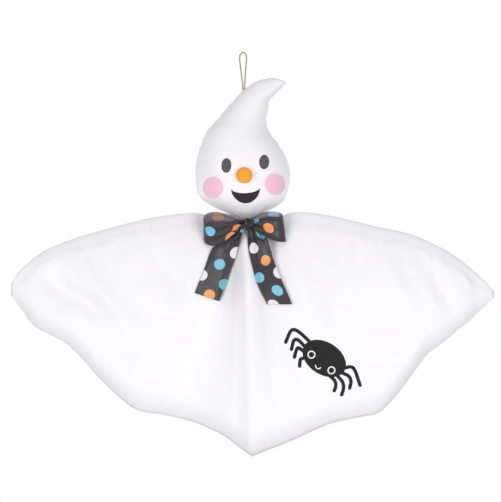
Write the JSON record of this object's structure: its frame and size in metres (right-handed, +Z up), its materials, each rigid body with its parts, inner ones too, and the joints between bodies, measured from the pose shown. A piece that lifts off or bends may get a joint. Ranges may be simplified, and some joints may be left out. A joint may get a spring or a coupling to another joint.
{
  "type": "hanging fabric ghost",
  "caption": "Hanging fabric ghost: stuffed satin head with a swept point and felt face, winged cloth drape on a bendable arm wire, dotted ribbon bow and spider patch.",
  "frame": {"origin": "inside the top of the hanging loop, where a hook bears", "axes": "+Z up, +X to the viewer's right along the arms, front faces -Y"},
  "size_m": [0.483, 0.0846, 0.4021],
  "materials": {
    "satin": "white woven satin with a soft sheen",
    "dark_felt": "dark grey felt",
    "pink_felt": "pink felt",
    "black_felt": "near-black felt, white print on the spider",
    "orange_felt": "orange felt over a stuffed dome",
    "thread": "khaki-gold twisted thread",
    "wire": "plain soft steel wire",
    "ribbon": "black satin ribbon printed with orange, blue, teal and white dots"
  },
  "bodies": {
    "root": {"head": "satin", "left_eye": "dark_felt", "right_eye": "dark_felt", "left_cheek": "pink_felt", "right_cheek": "pink_felt", "mouth": "black_felt", "nose": "orange_felt", "hanging_loop": "thread", "drape": "satin", "arm_wire": "wire", "ribbon_bow": "ribbon", "spider_patch": "black_felt"}
  },
  "joints": []
}
